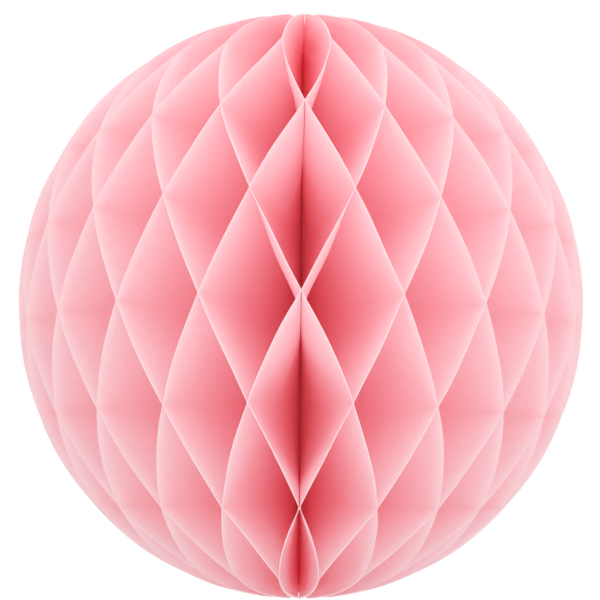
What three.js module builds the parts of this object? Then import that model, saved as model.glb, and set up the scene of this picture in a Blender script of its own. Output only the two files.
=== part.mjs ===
// Honeycomb paper ball. Half discs of tissue paper are bound along their straight
// edges and glued to one another on staggered lines, so that they open into rows of
// diamond cells when they are fanned out through a full turn round the binding.
// Millimetres and degrees. +Z runs up the binding, and the seam where the first and
// the last sheet meet faces -Y.
import * as THREE from 'three';

const { clamp, degToRad, lerp } = THREE.MathUtils;

// Ball
const BALL_DIAMETER = 200; // across the fanned sheets
const BALL_HEIGHT = 207.2; // from pole to pole, along the binding
const TIP_WIDTH = 1; // width left at both ends of each half disc

// Paper and binding
const SHEET_COUNT = 46; // even, so that the staggered glue lines close up at the seam
const SHEET_THICKNESS = 0.08;
const GLUE_FILM = 0.1; // between two sheets along their shared glue line
const CORD_CLEARANCE = 0.25; // between the cord and the straight edges round it

// Glue lines, which run out from the binding to the cut edge
const GLUE_LINE_WIDTH = 0.5;
const GLUE_HEIGHTS = [-93, -69.2, -39.3, -8.8, 20.9, 49, 76.5]; // where they leave the binding
const SHORTEST_GLUE_LINE = 30; // closer to the poles the sheets are left free

// Seam
const SEAM_HALF_ANGLE = 8.9; // from the seam to the next glue lines, wider than elsewhere
const SEAM_END_HALF_ANGLE = 7; // the same in the two rows next to the poles
const SEAM_TIP = 4.8; // upward tip of the glue lines at the seam, level a quarter turn away
const SEAM_DRIFT = 1.9; // the hand-closed seam strays sideways by this towards the top

// Folds and facets
const POLE_CLOSING = 0.93; // share of the way to the seam that the free paper swings at the poles
const POLE_SWING = 13; // the most that it swings, less on the far side of the ball
const POLE_SWING_SHARE = 0.53; // share of the way to the pole in which it does so
const POLE_SWING_DELAY = 3.5; // 1 swings evenly, more starts slowly
const POLE_RELEASE = 6; // how late it lets go again on the way to the tip
const FOLD_STEPS = 4; // along the cut edge, from one glue line to the next
const POLE_STEPS = 8; // along the cut edge, from the last glue line to the tip
const CORD_SIDES = 16;

const PAPER_COLOUR = 0xf4a6ae;
const CORD_COLOUR = 0xe8858f;
const PAPER_ROUGHNESS = 0.9;

const radius = BALL_DIAMETER / 2;
const halfHeight = BALL_HEIGHT / 2;
const seamAngle = degToRad(SEAM_HALF_ANGLE);
const seamEndAngle = degToRad(SEAM_END_HALF_ANGLE);
const seamSlope = Math.tan(degToRad(SEAM_TIP));
const columnStep = (2 * Math.PI - 2 * seamAngle) / (SHEET_COUNT - 2);
const gluedPitch = SHEET_THICKNESS + GLUE_FILM;
const bindingRadius = gluedPitch / (2 * Math.sin(Math.min(columnStep, seamAngle) / 2));
const tipAngle = Math.acos((bindingRadius + TIP_WIDTH) / radius);
const tipHeight = halfHeight * Math.sin(tipAngle);
const rows = glueRows();

// Rows whose glue lines are long enough, as places in the list of heights.
function glueRows() {
  const limit = halfHeight * Math.sqrt(1 - (SHORTEST_GLUE_LINE / radius) ** 2);
  const found = GLUE_HEIGHTS.map((height, row) => row);
  return found.filter((row) => Math.abs(GLUE_HEIGHTS[row]) < limit);
}

// Turn from the seam to a column of glue lines in a row, or to the same column on the
// binding where no row is given. Column 0 and the last one are the seam.
function columnAngle(column, row) {
  const isEnd = row === rows[0] || row === rows.at(-1);
  const half = isEnd ? seamEndAngle : seamAngle;
  const fromSeam = Math.min(column, SHEET_COUNT - column);
  const top = row === undefined ? 0 : Math.max(0, GLUE_HEIGHTS[row] / halfHeight);
  const drift = fromSeam > 1 ? 0 : degToRad(SEAM_DRIFT) * top ** 2;
  if (column === 0) return drift;
  if (column === SHEET_COUNT) return 2 * Math.PI + drift;
  return half + (column - 1) * (2 * Math.PI - 2 * half) / (SHEET_COUNT - 2) + drift;
}

// Rise of the glue lines for each millimetre out, steepest at the seam.
function glueSlope(azimuth) {
  return seamSlope * Math.max(0, Math.cos(azimuth)) ** 2;
}

// Radius at which a line out from the binding meets the elliptical cut edge.
function edgeRadius(height, slope) {
  const a = (1 / radius) ** 2 + (slope / halfHeight) ** 2;
  const b = height * slope / halfHeight ** 2;
  const c = (height / halfHeight) ** 2 - 1;
  return (Math.sqrt(b * b - a * c) - b) / a;
}

// Turn of the free paper past the last row towards the seam, at a share of the way to
// the pole. The two sheets that are glued in that row swing together.
function poleSwing(azimuth, row, share) {
  const seam = columnAngle(azimuth < Math.PI ? 0 : SHEET_COUNT, row);
  const most = degToRad(POLE_SWING) * Math.cos(azimuth / 2) ** 2;
  const closing = clamp(POLE_CLOSING * (seam - azimuth), -most, most);
  const swung = Math.min(1, share / POLE_SWING_SHARE) ** POLE_SWING_DELAY;
  return closing * swung * (1 - share ** POLE_RELEASE);
}

// Stations along the cut edge of a sheet, from tip to tip. Each has its radius r, its
// height z and its azimuth, its lean from -1 on the sheet's first column to 1 on its
// second, and the height of the point on the binding that the paper folds to there.
function cutEdge(index) {
  const leanAt = (row) => ((row + index) % 2 === 0 ? 1 : -1);
  const azimuthAt = (row, lean) => columnAngle(index + (1 + lean) / 2, row);
  const onLine = (height, azimuth, lean, binding) => {
    const slope = glueSlope(azimuth);
    const r = edgeRadius(height, slope);
    return { r, z: height + slope * r, azimuth, lean, binding };
  };
  const toPole = (last, row, side) => {
    const start = Math.acos(last.r / radius);
    const stations = [];
    for (let step = 1; step <= POLE_STEPS; step += 1) {
      const share = step / POLE_STEPS;
      const angle = lerp(start, tipAngle, share);
      stations.push({
        r: radius * Math.cos(angle),
        z: side * halfHeight * Math.sin(angle),
        azimuth: last.azimuth + poleSwing(last.azimuth, row, share),
        lean: last.lean,
        binding: step < POLE_STEPS ? last.binding : side * tipHeight,
      });
    }
    return stations;
  };

  const stations = [];
  for (const row of rows) {
    const lean = leanAt(row);
    const azimuth = azimuthAt(row, lean);
    const lower = GLUE_HEIGHTS[row] - GLUE_LINE_WIDTH / 2;
    const upper = GLUE_HEIGHTS[row] + GLUE_LINE_WIDTH / 2;
    stations.push(onLine(lower, azimuth, lean, lower), onLine(upper, azimuth, lean, upper));
    if (row === rows.at(-1)) break;
    const next = GLUE_HEIGHTS[row + 1] - GLUE_LINE_WIDTH / 2;
    const nextAzimuth = azimuthAt(row + 1, -lean);
    for (let step = 1; step < FOLD_STEPS; step += 1) {
      const share = step / FOLD_STEPS;
      stations.push(onLine(
        lerp(upper, next, share),
        lerp(azimuth, nextAzimuth, share),
        lerp(lean, -lean, share),
        share < 0.5 ? upper : next,
      ));
    }
  }
  const bottom = toPole(stations[0], rows[0], -1).reverse();
  return [...bottom, ...stations, ...toPole(stations.at(-1), rows.at(-1), 1)];
}

// Closed solid of one sheet: two faces of triangles between the binding and the cut
// edge, and a wall of one paper thickness all round.
function sheetGeometry(index) {
  const edge = cutEdge(index);
  const middle = (columnAngle(index) + columnAngle(index + 1)) / 2;
  const bindingHeights = [...new Set(edge.map((station) => station.binding))];

  const positions = [];
  const addPoint = (r, z, azimuth, lean, face) => {
    const aside = (face * SHEET_THICKNESS - lean * gluedPitch) / 2;
    positions.push(
      r * Math.sin(azimuth) + aside * Math.cos(azimuth),
      -r * Math.cos(azimuth) + aside * Math.sin(azimuth),
      z,
    );
  };
  for (const face of [-1, 1]) {
    for (const { r, z, azimuth, lean } of edge) addPoint(r, z, azimuth, lean, face);
    for (const z of bindingHeights) addPoint(bindingRadius, z, middle, 0, face);
  }
  const faceSize = edge.length + bindingHeights.length;

  const triangles = [];
  const addBothFaces = (a, b, c) => {
    triangles.push(a, b, c, a + faceSize, c + faceSize, b + faceSize);
  };
  const bindingPoint = (j) => edge.length + bindingHeights.indexOf(edge[j].binding);
  for (let j = 0; j < edge.length - 1; j += 1) {
    const here = bindingPoint(j);
    const next = bindingPoint(j + 1);
    addBothFaces(here, j, j + 1);
    if (next !== here) addBothFaces(here, j + 1, next);
  }

  const rim = edge.map((station, j) => j);
  for (let j = bindingHeights.length - 1; j >= 0; j -= 1) rim.push(edge.length + j);
  rim.forEach((a, j) => {
    const b = rim[(j + 1) % rim.length];
    triangles.push(b, a, a + faceSize, b, a + faceSize, b + faceSize);
  });

  const geometry = new THREE.BufferGeometry();
  geometry.setAttribute('position', new THREE.Float32BufferAttribute(positions, 3));
  geometry.setIndex(triangles);
  geometry.computeVertexNormals();
  return geometry;
}

// Cord that gathers the straight edges, from pole to pole.
function cordGeometry() {
  const cordRadius = bindingRadius - SHEET_THICKNESS / 2 - CORD_CLEARANCE;
  const geometry = new THREE.CylinderGeometry(cordRadius, cordRadius, 2 * tipHeight, CORD_SIDES);
  return geometry.rotateX(Math.PI / 2);
}

function addPiece(group, name, geometry, material) {
  const mesh = new THREE.Mesh(geometry, material);
  mesh.name = name;
  group.add(mesh);
}

const paper = new THREE.MeshStandardMaterial({
  name: 'tissue_paper', color: PAPER_COLOUR, roughness: PAPER_ROUGHNESS, metalness: 0,
});
const cotton = new THREE.MeshStandardMaterial({
  name: 'binding_cotton', color: CORD_COLOUR, roughness: PAPER_ROUGHNESS, metalness: 0,
});

const ball = new THREE.Group();
ball.name = 'honeycomb_ball';
for (let index = 0; index < SHEET_COUNT; index += 1) {
  const name = `sheet_${String(index + 1).padStart(2, '0')}`;
  addPiece(ball, name, sheetGeometry(index), paper);
}
addPiece(ball, 'binding_cord', cordGeometry(), cotton);

export default ball;
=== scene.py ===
# %% [markdown]
# # A honeycomb paper ball
#
# The ball is a stack of tissue paper half discs, tied along their straight edges and
# glued to one another on staggered lines. Fanned out through a full turn, the stack
# opens into rows of diamond cells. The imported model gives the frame: where every sheet
# and the binding cord are, in metres. This lesson makes each sheet again as a fine,
# softly folded piece of paper, and lights it as a studio would.

# %% Load the frame
import math

import bpy
import numpy as np
from mathutils import Matrix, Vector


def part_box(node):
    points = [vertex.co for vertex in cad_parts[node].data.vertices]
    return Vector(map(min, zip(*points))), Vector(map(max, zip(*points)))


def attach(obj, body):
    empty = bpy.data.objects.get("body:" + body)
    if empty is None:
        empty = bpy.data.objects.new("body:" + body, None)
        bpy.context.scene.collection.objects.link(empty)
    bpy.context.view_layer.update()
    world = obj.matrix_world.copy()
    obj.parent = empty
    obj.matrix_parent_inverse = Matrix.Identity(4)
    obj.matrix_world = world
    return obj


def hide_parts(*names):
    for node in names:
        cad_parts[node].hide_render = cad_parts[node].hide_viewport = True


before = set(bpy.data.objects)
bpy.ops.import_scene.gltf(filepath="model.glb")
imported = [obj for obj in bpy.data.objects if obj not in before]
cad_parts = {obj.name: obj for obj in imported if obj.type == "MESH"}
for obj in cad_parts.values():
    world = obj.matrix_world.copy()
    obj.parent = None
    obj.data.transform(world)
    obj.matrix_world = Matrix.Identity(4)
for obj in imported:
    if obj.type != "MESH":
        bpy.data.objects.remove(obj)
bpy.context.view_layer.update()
scene = bpy.context.scene
scene.view_settings.view_transform = "Standard"
sheet_nodes = sorted(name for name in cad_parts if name.startswith("sheet_"))

# %% [markdown]
# ## Camera
#
# A camera could be aimed with a Track To constraint, but a photograph has numbers of its
# own: how far away it was taken, how far below the middle of the ball and to the side,
# how much the camera looked up, and how much it leaned. Written as one place and two
# turns, they give the camera's matrix directly. It looks along +Y, because the seam of
# the ball faces -Y.

# %% Camera
MM = 0.001
FRAME_PIXELS = 600
FOCAL_PIXELS = 1081  # focal length, in pixels of a square frame
SENSOR_WIDTH = 36  # in millimetres, as Blender counts sensors and lenses
NEAREST_SEEN = 10 * MM
CAMERA_DISTANCE = 396 * MM
CAMERA_DROP = math.radians(2.64)  # below the middle of the ball
CAMERA_LOOK_UP = math.radians(2.93)
CAMERA_LEAN = math.radians(0.46)
CAMERA_ASIDE = -0.33 * MM

camera = bpy.data.objects.new("camera", bpy.data.cameras.new("camera"))
camera.data.sensor_width = SENSOR_WIDTH
camera.data.lens = SENSOR_WIDTH * FOCAL_PIXELS / FRAME_PIXELS
camera.data.clip_start = NEAREST_SEEN
camera_place = Matrix.Translation((
    CAMERA_ASIDE,
    -CAMERA_DISTANCE * math.cos(CAMERA_DROP),
    -CAMERA_DISTANCE * math.sin(CAMERA_DROP),
))
look_along_y = Matrix.Rotation(math.radians(90) + CAMERA_LOOK_UP, 4, "X")
camera.matrix_world = camera_place @ look_along_y @ Matrix.Rotation(CAMERA_LEAN, 4, "Z")
scene.collection.objects.link(camera)
scene.camera = camera
print("camera with a", round(camera.data.lens, 1), "mm lens at", camera.matrix_world.translation)

# %% [markdown]
# ## How the sheets fold
#
# Every sheet lies in its own wedge between two columns of glue lines. At each row it is
# glued to one column or the other, turn about, so it swings across the wedge and back
# as it goes up. The wedges could be measured on the solids in the frame, but the same few
# numbers that made those solids give them exactly. Angles are turns round the binding
# from the seam, growing from -Y towards +X.

# %% Sizes of the ball and its glue lines
BALL_RADIUS = 100 * MM
BALL_HALF_HEIGHT = 103.6 * MM
TIP_WIDTH = 1 * MM
SHEET_THICKNESS = 0.08 * MM
GLUE_FILM = 0.1 * MM
GLUE_LINE_WIDTH = 0.5 * MM
GLUE_HEIGHTS = np.array([-93, -69.2, -39.3, -8.8, 20.9, 49, 76.5]) * MM  # on the binding
SEAM_HALF_ANGLE = math.radians(8.9)
SEAM_END_HALF_ANGLE = math.radians(7)  # in the two rows next to the poles
SEAM_SLOPE = math.tan(math.radians(4.8))
SEAM_DRIFT = math.radians(1.9)  # the seam strays sideways towards the top

sheet_count = len(sheet_nodes)
seam_columns = (0, sheet_count)
last_row = len(GLUE_HEIGHTS) - 1
glued_pitch = SHEET_THICKNESS + GLUE_FILM


def column_step(seam):
    """Turn from one column to the next, where the seam takes its own half angle twice."""
    return (2 * math.pi - 2 * seam) / (sheet_count - 2)


def column_angle(column, row=None):
    """Turn from the seam to a column in a row, or on the binding if no row is given."""
    seam = SEAM_END_HALF_ANGLE if row in (0, last_row) else SEAM_HALF_ANGLE
    drift = 0
    if row is not None and min(column, sheet_count - column) <= 1:
        drift = SEAM_DRIFT * max(0, GLUE_HEIGHTS[row] / BALL_HALF_HEIGHT) ** 2
    if column in seam_columns:
        return drift + 2 * math.pi * (column > 0)
    return drift + seam + (column - 1) * column_step(seam)


binding_radius = glued_pitch / (2 * math.sin(column_step(SEAM_HALF_ANGLE) / 2))
tip_angle = math.acos((binding_radius + TIP_WIDTH) / BALL_RADIUS)
tip_height = BALL_HALF_HEIGHT * math.sin(tip_angle)
print("columns every", round(math.degrees(column_step(SEAM_HALF_ANGLE)), 2), "degrees")

# %% [markdown]
# ## Level lines
#
# A level line is one line in the paper, from the binding out to the cut edge. A sheet
# could be folded by cloth simulation, but glued paper has no freedom left: the level
# lines at the glue lines are known, and those between them follow. So each sheet is a fan
# of level lines, listed from pole to pole. `turn` is the way a line goes out at the cut
# edge, `turn_inside` the way it goes deep inside, and `lean` says where the line is in
# the wedge, from -1 at the first column to 1 at the second. `freedom` is 0 where the
# paper is glued. Close to the seam the lines rise on their way out, by `lift` in all.

# %% One level line
def edge_on_slope(height, slope):
    """Radius and lift with which a line that leaves the binding meets the cut edge."""
    a = BALL_RADIUS**-2 + (slope / BALL_HALF_HEIGHT) ** 2
    b = height * slope / BALL_HALF_HEIGHT**2
    c = (height / BALL_HALF_HEIGHT) ** 2 - 1
    radius = (math.sqrt(b * b - a * c) - b) / a
    return radius, slope * radius


def level_line(height, turn, turn_inside, lean, freedom):
    """Binding height, edge radius, lift, turn, turn inside, lean and freedom of a line."""
    slope = SEAM_SLOPE * max(0, math.cos(turn)) ** 2
    return (height, *edge_on_slope(height, slope), turn, turn_inside, lean, freedom)


seam_lift = level_line(0, 0, 0, 0, 0)[2]
print("a level line at the seam rises by", round(seam_lift / MM, 1), "mm")

# %% [markdown]
# ## Free paper at the poles
#
# Past the last row nothing holds the cells open. The two sheets that are glued there stay
# together, lean towards the seam, and let go again at the tip. Each could be bent by hand
# with a Simple Deform modifier, but the lean is one rule for all the sheets: most beside
# the seam, and none on the far side of the ball.

# %% Level lines past the last row
POLE_STEPS = 26  # level lines from the last glue line to the tip
POLE_CLOSING = 0.93  # share of the way to the seam that the free paper swings at the poles
POLE_SWING = math.radians(13)  # the most that it swings, less on the far side of the ball
POLE_SWING_SHARE = 0.53  # share of the way to the pole in which it does so
POLE_SWING_DELAY = 3.5  # 1 swings evenly, more starts slowly
POLE_RELEASE = 6  # how late it lets go again on the way to the tip


def pole_swing(turn, row, share):
    """Turn towards the seam, past the last row, at a share of the way to the pole."""
    seam = column_angle(0 if turn < math.pi else sheet_count, row)
    most = POLE_SWING * math.cos(turn / 2) ** 2
    closing = max(-most, min(most, POLE_CLOSING * (seam - turn)))
    swung = min(1, share / POLE_SWING_SHARE) ** POLE_SWING_DELAY
    return closing * swung * (1 - share**POLE_RELEASE)


def lines_to_pole(last, row, side):
    """Level lines from the last one in a row to the tip, with side 1 for the top."""
    height, radius, _, turn, _, lean, _ = last
    start = math.acos(radius / BALL_RADIUS)
    lines = []
    for share in np.linspace(0, 1, POLE_STEPS + 1)[1:]:
        angle = start + (tip_angle - start) * share
        swung = turn + pole_swing(turn, row, share)
        binding = height + (side * tip_height - height) * share
        lines.append((
            binding,
            BALL_RADIUS * math.cos(angle),
            side * BALL_HALF_HEIGHT * math.sin(angle) - binding,
            swung,
            swung,
            lean,
            math.sin(math.pi * share),
        ))
    return lines


beside_seam = pole_swing(column_angle(1, last_row), last_row, POLE_SWING_SHARE)
print("beside the seam the free paper swings", round(math.degrees(beside_seam), 1), "degrees")

# %% [markdown]
# ## Folds between the rows
#
# From one glue line to the next the paper swings across its wedge, evenly along the cut
# edge and more softly deep inside. Beside the seam, a fold that rises towards it bows
# outwards a little, and the last one that rises from it bows more. The bows could be
# pulled by hand in a sculpting brush, but a power of the share of the way up is one
# number that can be compared with the photograph.

# %% Level lines of one sheet
FOLD_STEPS = 14  # level lines from one glue line to the next
SEAM_BOW = 1.12  # 1 leaves a fold that rises to the seam straight, more bows it outwards
TOP_BOW = 1.35  # the same for the last fold that rises from the seam, where it ends


def glued_side(index, row):
    """The side on which a sheet is glued in a row: -1 at its first column, 1 at its second."""
    return 1 if (row + index) % 2 == 0 else -1


def glued_column(index, row):
    """The column of glue lines that a sheet is glued to in a row."""
    return index + (1 + glued_side(index, row)) // 2


def swung_at_edge(index, row, share):
    """How far across its wedge a fold has swung at the cut edge, on its way up from a row."""
    if glued_column(index, row + 1) in seam_columns:
        return share**SEAM_BOW
    if row == last_row - 1 and glued_column(index, row) in seam_columns:
        return 1 - (1 - share) ** TOP_BOW
    return share


def swung_inside(share):
    """The same deep inside, where a fold starts and ends softly."""
    return share * share * (3 - 2 * share)


def level_lines(index):
    """All level lines of a sheet from pole to pole, each in a row of the array."""
    lines = []
    for row, glue_height in enumerate(GLUE_HEIGHTS):
        lean = glued_side(index, row)
        turn = column_angle(glued_column(index, row), row)
        lower, upper = glue_height - GLUE_LINE_WIDTH / 2, glue_height + GLUE_LINE_WIDTH / 2
        for height in (lower, glue_height, upper):
            lines.append(level_line(height, turn, turn, lean, 0))
        if row == last_row:
            break
        rise = GLUE_HEIGHTS[row + 1] - GLUE_LINE_WIDTH / 2 - upper
        across = column_angle(glued_column(index, row + 1), row + 1) - turn
        for share in np.linspace(0, 1, FOLD_STEPS + 1)[1:-1]:
            lines.append(level_line(
                upper + rise * share,
                turn + across * swung_at_edge(index, row, share),
                turn + across * swung_inside(share),
                lean * (1 - 2 * share),
                math.sin(math.pi * share),
            ))
    top = lines_to_pole(lines[-1], last_row, 1)
    bottom = lines_to_pole(lines[0], 0, -1)
    return np.array(bottom[::-1] + lines + top)


print(len(level_lines(0)), "level lines in a sheet")

# %% [markdown]
# ## Ripple
#
# Tissue is never quite flat. A Displace modifier with a texture could ripple it, but it
# would also pull the glue lines apart. A few long waves, drawn by lot for every sheet,
# can be faded out where the paper is glued, and they keep the cells from looking stamped.

# %% Ripple of one sheet
RIPPLE_HEIGHT = 0.22 * MM
RIPPLE_WAVES = 5
RIPPLE_COUNTS = (0.5, 3.0)  # fewest and most waves in a radius of the ball
RIPPLE_RISE = 3  # the ripple is full at one part in this many of the way out
RIPPLE_SEED = 1000


def ripple(index, outward, height, freedom):
    """Sideways shift of the paper: a few long waves of its own for every sheet."""
    random = np.random.default_rng(RIPPLE_SEED + index)
    shift = np.zeros((len(height), len(outward)))
    for _ in range(RIPPLE_WAVES):
        along, across = random.uniform(*RIPPLE_COUNTS, 2)
        phase = random.uniform(0, 2 * math.pi)
        waves = along * height / BALL_RADIUS + across * outward[None, :]
        shift += np.sin(2 * math.pi * waves + phase)
    fade = freedom * np.clip(outward[None, :] * RIPPLE_RISE, 0, 1)
    return RIPPLE_HEIGHT / math.sqrt(RIPPLE_WAVES) * shift * fade


print(RIPPLE_WAVES, "waves in a sheet, together about", RIPPLE_HEIGHT / MM, "mm high")

# %% [markdown]
# ## Paper sheets
#
# A grid of points runs along the level lines, and its squares are the sheet. A Solidify
# modifier could give it two faces, but the paper is thinner than a hair, and a ray of
# light would then meet every sheet twice. One surface in the middle of the paper is
# what a Translucent shader is made for. Beside the seam the glue lines curl up at the
# cut, so that a strip of the paper's other side shows there. Only the lowest ones don't.

# %% Points of one sheet
OUTWARD_STEPS = 20
EDGE_FINENESS = 1.6  # 1 spaces the steps evenly, more sets them closer at the cut edge
EDGE_CRISPNESS = 6  # how late on the way out a soft fold becomes a sharp one
SEAM_CURL_HEIGHTS = (-67 * MM, -15 * MM)  # the curl changes from the first to the second
SEAM_CURL = (-0.8, 6.5)  # 0 keeps a glue line straight, more curls it up at the cut


def level_place(radius, turn, lean):
    """Points at a radius and a turn, half a glued pitch to the side at a glue line."""
    aside = -lean * glued_pitch / 2
    x = radius * np.sin(turn) + aside * np.cos(turn)
    y = -radius * np.cos(turn) + aside * np.sin(turn)
    return np.stack([x, y], axis=-1)


def curl_power(height, turn):
    """Power of the way out with which a line rises: 1 goes straight, more curls up late."""
    from_seam = np.minimum(np.abs(turn), np.abs(2 * math.pi - turn))
    near_seam = np.clip(1 - (from_seam / SEAM_HALF_ANGLE) ** 2, 0, 1)
    return 1 + near_seam * np.interp(height, SEAM_CURL_HEIGHTS, SEAM_CURL)


def sheet_points(index, lines):
    """Points of a sheet, level line by level line, from the binding out."""
    outward = 1 - (1 - np.linspace(0, 1, OUTWARD_STEPS + 1)) ** EDGE_FINENESS
    columns = np.hsplit(lines, lines.shape[1])
    height, edge_radius, lift, turn, turn_inside, lean, freedom = columns
    middle = (column_angle(index) + column_angle(index + 1)) / 2
    turns = turn_inside + (turn - turn_inside) * outward**EDGE_CRISPNESS
    inner = level_place(binding_radius, np.full_like(turns, middle), 0)
    outer = level_place(edge_radius, turns, lean)
    level = inner + (outer - inner) * outward[:, None]
    rise = height + lift * outward ** curl_power(height, turn)
    points = np.concatenate([level, rise[..., None]], axis=-1)
    across = np.array([math.cos(middle), math.sin(middle), 0])
    return points + ripple(index, outward, height, freedom)[..., None] * across


print(sheet_points(0, level_lines(0)).shape[:2], "points in a sheet, along its cut and outwards")

# %% [markdown]
# ## Cut edge
#
# The cut leaves loose fibres, which catch the light as a pale line. Hair particles could
# grow there, but from where the ball is seen they are finer than a pixel. A rim a third
# of a millimetre wide, which faces out, stands for them, and it is narrower at the glue
# lines, where two sheets lie close together.

# %% Sheet pieces
FRAY = 0.32 * MM  # width of the rim of loose fibres along the cut edge
FRAY_AT_GLUE = 0.17 * MM


def frayed_rim(points, freedom):
    """Pairs of points on both sides of the cut edge, close together at the glue lines."""
    edge = points[:, -1]
    aside = np.cross(edge - points[:, -2], np.gradient(edge, axis=0))
    aside /= np.linalg.norm(aside, axis=1, keepdims=True)
    width = FRAY_AT_GLUE + (FRAY - FRAY_AT_GLUE) * freedom
    return np.stack([edge - aside * width / 2, edge + aside * width / 2], axis=1)


def squares(label):
    """The squares of a grid of labelled points."""
    corners = [label[:-1, :-1], label[:-1, 1:], label[1:, 1:], label[1:, :-1]]
    return np.stack(corners, axis=-1).reshape(-1, 4).tolist()


def sheet_mesh(index):
    """Mesh of one sheet: the paper and the rim along its cut edge."""
    lines = level_lines(index)
    points = sheet_points(index, lines)
    rim = frayed_rim(points, lines[:, -1:])
    label = np.arange(points.size // 3).reshape(points.shape[:2])
    rim_label = label.size + np.arange(rim.size // 3).reshape(rim.shape[:2])
    mesh = bpy.data.meshes.new(f"tissue_{index + 1:02d}")
    every_point = np.concatenate([points.reshape(-1, 3), rim.reshape(-1, 3)])
    mesh.from_pydata(every_point.tolist(), [], squares(label) + squares(rim_label))
    mesh.shade_smooth()
    return mesh


tissue_sheets = []
for index, node in enumerate(sheet_nodes):
    tissue = bpy.data.objects.new(f"tissue_{node}", sheet_mesh(index))
    scene.collection.objects.link(tissue)
    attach(tissue, "root")
    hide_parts(node)
    tissue_sheets.append(tissue)
print(len(tissue_sheets), "sheets of", len(tissue_sheets[0].data.polygons), "faces")

# %% [markdown]
# ## Binding cord
#
# The straight edges are gathered round a thin cotton cord, which shows only at the
# poles. A curve with a round bevel would be a smooth wire. Cotton cord is twisted from
# plies, so this one is a ring with one lobe for each ply, turned a little more at every
# step up.

# %% Twisted cord
CORD_PLIES = 3
CORD_RING = 24  # points round the cord
CORD_LAY = 7 * MM  # height of one full turn of a ply
CORD_STEPS_A_TURN = 12
PLY_BULGE = 0.16  # depth of the groove between two plies, as a share of the radius
SHARP_EDGE = math.radians(60)  # steeper edges, at both ends, stay sharp

cord_low, cord_high = (np.array(corner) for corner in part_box("binding_cord"))
cord_width, _, cord_length = cord_high - cord_low
step_count = round(cord_length / CORD_LAY * CORD_STEPS_A_TURN)
levels = np.linspace(cord_low[2], cord_high[2], step_count + 1)
turn = np.linspace(0, 2 * math.pi, CORD_RING, endpoint=False)
twist = 2 * math.pi * levels / CORD_LAY
lobes = np.abs(np.cos(CORD_PLIES / 2 * (turn[None, :] - twist[:, None])))
ring_radius = cord_width / 2 * (1 - PLY_BULGE * (1 - lobes))
cord_points = np.stack([
    ring_radius * np.cos(turn),
    ring_radius * np.sin(turn),
    np.repeat(levels[:, None], CORD_RING, axis=1),
], axis=-1).reshape(-1, 3)
label = np.arange(len(cord_points)).reshape(len(levels), CORD_RING)
closed_label = np.concatenate([label, label[:, :1]], axis=1)
ends = [label[0, ::-1].tolist(), label[-1].tolist()]
cord_mesh = bpy.data.meshes.new("twisted_cord")
cord_mesh.from_pydata(cord_points.tolist(), [], squares(closed_label) + ends)
cord_mesh.shade_smooth()
cord_mesh.set_sharp_from_angle(angle=SHARP_EDGE)
cord = bpy.data.objects.new("twisted_cord", cord_mesh)
scene.collection.objects.link(cord)
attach(cord, "root")
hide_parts("binding_cord")
print("cord of", CORD_PLIES, "plies,", len(cord_mesh.polygons), "faces")

# %% [markdown]
# ## Shader sums
#
# A material is a graph of nodes, and sums written as nodes are hard to read. `Wire`
# wraps one socket, so that a sum can be written as Python and adds its own Math nodes.
# Every other node comes from `node`, which sets the node's settings and then its
# sockets.

# %% Wire
class Wire:
    """A socket in a node tree, or only the tree, that makes nodes from expressions."""

    def __init__(self, tree, socket=None):
        self.tree, self.socket = tree, socket

    def node(self, kind, settings=None, sockets=None, output=0):
        """A wire from one output of a new node, with values or links on its sockets."""
        made = self.tree.nodes.new("ShaderNode" + kind)
        for name, value in (settings or {}).items():
            setattr(made, name, value)
        for name, value in (sockets or {}).items():
            if isinstance(value, Wire):
                self.tree.links.new(value.socket, made.inputs[name])
            else:
                made.inputs[name].default_value = value
        return Wire(self.tree, made.outputs[output])

    def math(self, operation, *values):
        return self.node("Math", {"operation": operation}, dict(enumerate(values)))

    def __add__(self, other):
        return self.math("ADD", self, other)

    def __sub__(self, other):
        return self.math("SUBTRACT", self, other)

    def __mul__(self, other):
        return self.math("MULTIPLY", self, other)

    def __truediv__(self, other):
        return self.math("DIVIDE", self, other)

    def __pow__(self, other):
        return self.math("POWER", self, other)

    def __rsub__(self, other):
        return self.math("SUBTRACT", other, self)

    def __rtruediv__(self, other):
        return self.math("DIVIDE", other, self)

    def __rpow__(self, other):
        return self.math("POWER", other, self)

    __radd__ = __add__
    __rmul__ = __mul__

    def clamped(self):
        return self.math("MINIMUM", self.math("MAXIMUM", self, 0.0), 1.0)

    def between(self, first, second):
        """A colour between two colours, mixed by this value."""
        # A Mix node keeps sockets for every type: 6 and 7 take colours, and output 2 gives one.
        return self.node(
            "Mix", {"data_type": "RGBA"}, {0: self, 6: first, 7: second}, output=2
        )


def new_finish(name):
    """A material with an empty node tree, and the tree's first wire."""
    finish = bpy.data.materials.new(name)
    finish.use_nodes = True
    finish.node_tree.nodes.clear()
    return finish, Wire(finish.node_tree)


def show(kind, shader):
    """Links a shader to the output of its tree."""
    end = shader.tree.nodes.new("ShaderNodeOutput" + kind)
    shader.tree.links.new(shader.socket, end.inputs["Surface"])


print("shader sums can be written with + - * / and **")
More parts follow.
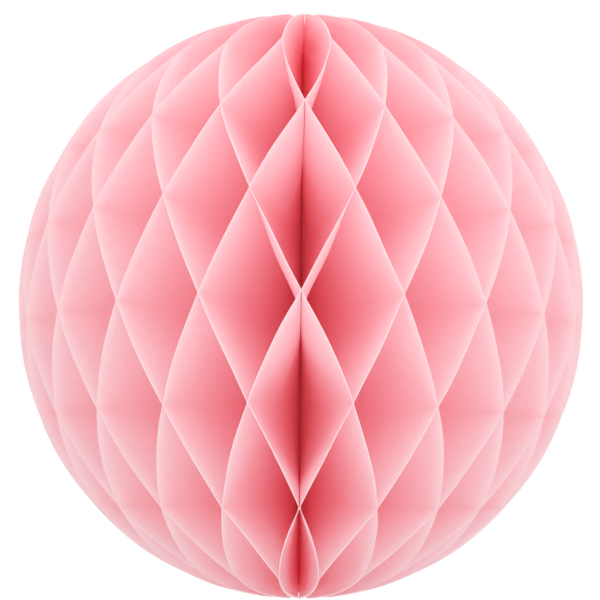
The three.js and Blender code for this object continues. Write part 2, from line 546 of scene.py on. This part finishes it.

# %% [markdown]
# ## Tissue paper
#
# Tissue sends about half of the light back and lets much of the rest through, and both
# ways the dye colours it. A Principled shader gives what comes back, a Translucent one
# what comes through, and a Mix Shader sets the shares. Deep in a cell the light has met
# the paper many times, so the red deepens there by itself. Along the cut edge the colour
# is painted almost white, a painted highlight for the light that the edges catch, and deep
# inside it is painted a little paler, painted light in the deep cells. Both masks follow
# from how far a point lies inside the ball. One noise makes the cloudy look of the pulp,
# and as a bump its fibres.

# %% Tissue finish
PAPER = (0.996, 0.775, 0.815, 1)
PAPER_THICK = (0.982, 0.705, 0.75, 1)
# painted light: deep inside, the paper is painted paler, for light in the deep cells
PAINTED_DEEP_LIGHT = (0.987, 0.868, 0.893, 1)
PAINTED_LIGHT_DEPTH = 45 * MM  # how far in the paper is painted paler, painted light for the deep cells
# painted highlight: near the cut edge the paper is painted almost white, for the light that the
# edges catch
PAINTED_EDGE_HIGHLIGHT = (0.998, 0.945, 0.955, 1)
HIGHLIGHT_BAND = 5 * MM
HIGHLIGHT_FADE = 1.7  # 1 fades the painted highlight evenly across the band, more fades it close to the cut
PULP_SCALE = 700.0  # clouds in a metre
PULP_DETAIL = 3.0
NOISE_MIDDLE = 0.5
CLOUD_CONTRAST = 4
FIBRE_STRENGTH = 0.5
FIBRE_HEIGHT = 0.2 * MM
PAPER_ROUGHNESS = 0.9
PAPER_SHINE = 0.0
THROUGH = 0.42  # share of the light that goes on through the paper

tissue_finish, start = new_finish("tissue_paper")
place = start.node("TexCoord", output="Object")
x, y, z = (start.node("SeparateXYZ", {}, {0: place}, axis) for axis in "XYZ")
inside = 1 - ((x * x + y * y) / BALL_RADIUS**2 + z * z / BALL_HALF_HEIGHT**2) ** 0.5
# mask of the painted highlight: 1 at the cut edge, fading to 0 one band further in
edge = (1 - inside * (BALL_RADIUS / HIGHLIGHT_BAND)).clamped() ** HIGHLIGHT_FADE
# mask of the painted light deep inside, growing from the cut edge inwards
deep = (inside * (BALL_RADIUS / PAINTED_LIGHT_DEPTH)).clamped()
pulp = start.node("TexNoise", {}, {
    "Vector": place, "Scale": PULP_SCALE, "Detail": PULP_DETAIL,
})
cloud = ((pulp - NOISE_MIDDLE) * CLOUD_CONTRAST + NOISE_MIDDLE).clamped()
fibres = start.node("Bump", {}, {
    "Height": pulp, "Strength": FIBRE_STRENGTH, "Distance": FIBRE_HEIGHT,
})
outer = cloud.between(PAPER, PAPER_THICK)
# pulp clouds, painted paler deep inside as painted light, and almost white at the cut edge as a
# painted highlight
paper_tone_with_painted_light = edge.between(deep.between(outer, PAINTED_DEEP_LIGHT), PAINTED_EDGE_HIGHLIGHT)
paper_back = start.node("BsdfPrincipled", {}, {
    "Base Color": paper_tone_with_painted_light,
    "Roughness": PAPER_ROUGHNESS,
    "Specular IOR Level": PAPER_SHINE,
    "Normal": fibres,
})
paper_through = start.node("BsdfTranslucent", {}, {"Color": PAPER})
show("Material", start.node("MixShader", {}, {0: THROUGH, 1: paper_back, 2: paper_through}))
for tissue in tissue_sheets:
    tissue.data.materials.append(tissue_finish)
print(tissue_finish.name, "has", len(tissue_finish.node_tree.nodes), "nodes")

# %% [markdown]
# ## Cotton
#
# The binding is soft cotton in a deeper shade. Its twist could be drawn with a Wave
# texture, but the plies are in the mesh already, so noise that is stretched along the
# cord is enough for the yarn: it shades the colour and roughens the surface.

# %% Cotton finish
COTTON = (0.85, 0.30, 0.34, 1)
COTTON_SHADE = (0.70, 0.20, 0.24, 1)
YARN_STRETCH = (1.0, 1.0, 0.3)
YARN_SCALE = 6000.0  # fibres in a metre
YARN_DETAIL = 3.0
FUZZ_STRENGTH = 0.4
FUZZ_HEIGHT = 0.08 * MM
COTTON_ROUGHNESS = 0.95
COTTON_SHINE = 0.2

cotton_finish, start = new_finish("binding_cotton")
place = start.node("TexCoord", output="Object")
yarn_place = start.node("Mapping", {}, {"Vector": place, "Scale": YARN_STRETCH})
yarn = start.node("TexNoise", {}, {
    "Vector": yarn_place, "Scale": YARN_SCALE, "Detail": YARN_DETAIL,
})
fuzz = start.node("Bump", {}, {
    "Height": yarn, "Strength": FUZZ_STRENGTH, "Distance": FUZZ_HEIGHT,
})
show("Material", start.node("BsdfPrincipled", {}, {
    "Base Color": yarn.between(COTTON, COTTON_SHADE),
    "Roughness": COTTON_ROUGHNESS,
    "Specular IOR Level": COTTON_SHINE,
    "Normal": fuzz,
}))
cord_mesh.materials.append(cotton_finish)
print(cotton_finish.name, "has", len(cotton_finish.node_tree.nodes), "nodes")

# %% [markdown]
# ## Studio
#
# The ball hangs in a light tent: white cloth all round, brightest in front and above,
# darker below, and with a patch of light behind the ball. Area lamps could stand in for
# it, but a tent has no edges, so the world itself is the light, with a strength that
# changes slowly with the direction. The camera sees plain white. Light that has bounced
# many times still matters inside pale cells, so the paths may be long, and a world
# without hard lights needs no sampling of its own.

# %% Light tent
WHITE = (1, 1, 1, 1)
TENT_LEVEL = 1.23
TENT_AIM = math.radians(40)  # up from the front to the middle of the lit cloth
TENT_DARK, TENT_BRIGHT = -1.3, 0.8  # cosines from there, where the cloth is dark and bright
TENT_RIGHT = 0.08  # a little more light from the right
TENT_BACK = 0.9  # a patch of light behind the ball, for its far side
LONGEST_PATH = 64

scene.cycles.max_bounces = LONGEST_PATH
scene.cycles.diffuse_bounces = LONGEST_PATH
scene.cycles.transmission_bounces = LONGEST_PATH


def seen_directly(start):
    """1 for rays from the camera, also by way of gloss or glass, and 0 for others."""
    kinds = ("Is Camera Ray", "Is Glossy Ray", "Is Transmission Ray")
    clear = sum(start.node("LightPath", output=kind) for kind in kinds)
    return (clear - start.node("LightPath", output="Is Diffuse Ray")).clamped()


tent = bpy.data.worlds.new("light_tent")
scene.world = tent
tent.use_nodes = True
tent.node_tree.nodes.clear()
tent.cycles.sampling_method = "NONE"
start = Wire(tent.node_tree)
way = start.node("TexCoord", output="Generated")
x, y, z = (start.node("SeparateXYZ", {}, {0: way}, axis) for axis in "XYZ")
towards = z * math.sin(TENT_AIM) - y * math.cos(TENT_AIM)
lit = start.node("MapRange", {"interpolation_type": "SMOOTHSTEP"}, {
    "Value": towards, "From Min": TENT_DARK, "From Max": TENT_BRIGHT,
})
behind = start.math("MAXIMUM", y, 0.0) ** 2
cloth = lit * (TENT_LEVEL + TENT_RIGHT * x) + TENT_BACK * behind
seen = seen_directly(start)
level = cloth * (1 - seen) + seen
show("World", start.node("Background", {}, {"Color": WHITE, "Strength": level}))
print("tent of", len(tent.node_tree.nodes), "nodes, paths of up to", LONGEST_PATH, "bounces")

# %% [markdown]
# ## Floor
#
# The ball hangs well above a pale floor, so only a faint, wide shadow reaches it. A
# shadow catcher would leave the floor out of the picture. This one is real paint for the
# light that falls on it, and mostly plain white where the camera sees it, so that it
# meets the white of the tent and still keeps the shadow.

# %% Floor
FLOOR_DROP = 0.9  # from the ball to the floor
FLOOR_RADIUS = 0.8
FLOOR_SIDES = 64
FLOOR_PAINT = (0.9, 0.9, 0.9, 1)
FLOOR_ROUGHNESS = 0.8
FLOOR_WHITE = 0.85  # share of plain white where the camera sees the floor

bpy.ops.mesh.primitive_circle_add(
    vertices=FLOOR_SIDES,
    radius=FLOOR_RADIUS,
    fill_type="NGON",
    location=(0, 0, -BALL_HALF_HEIGHT - FLOOR_DROP),
)
floor = bpy.context.object
floor.name = "floor"
floor_finish, start = new_finish("pale_floor")
paint = start.node("BsdfPrincipled", {}, {
    "Base Color": FLOOR_PAINT, "Roughness": FLOOR_ROUGHNESS,
})
glow = start.node("Emission", {}, {"Color": WHITE, "Strength": 1.0})
white = seen_directly(start) * FLOOR_WHITE
show("Material", start.node("MixShader", {}, {0: white, 1: paint, 2: glow}))
floor.data.materials.append(floor_finish)
print("floor", round(-floor.location.z, 2), "m below the middle of the ball")
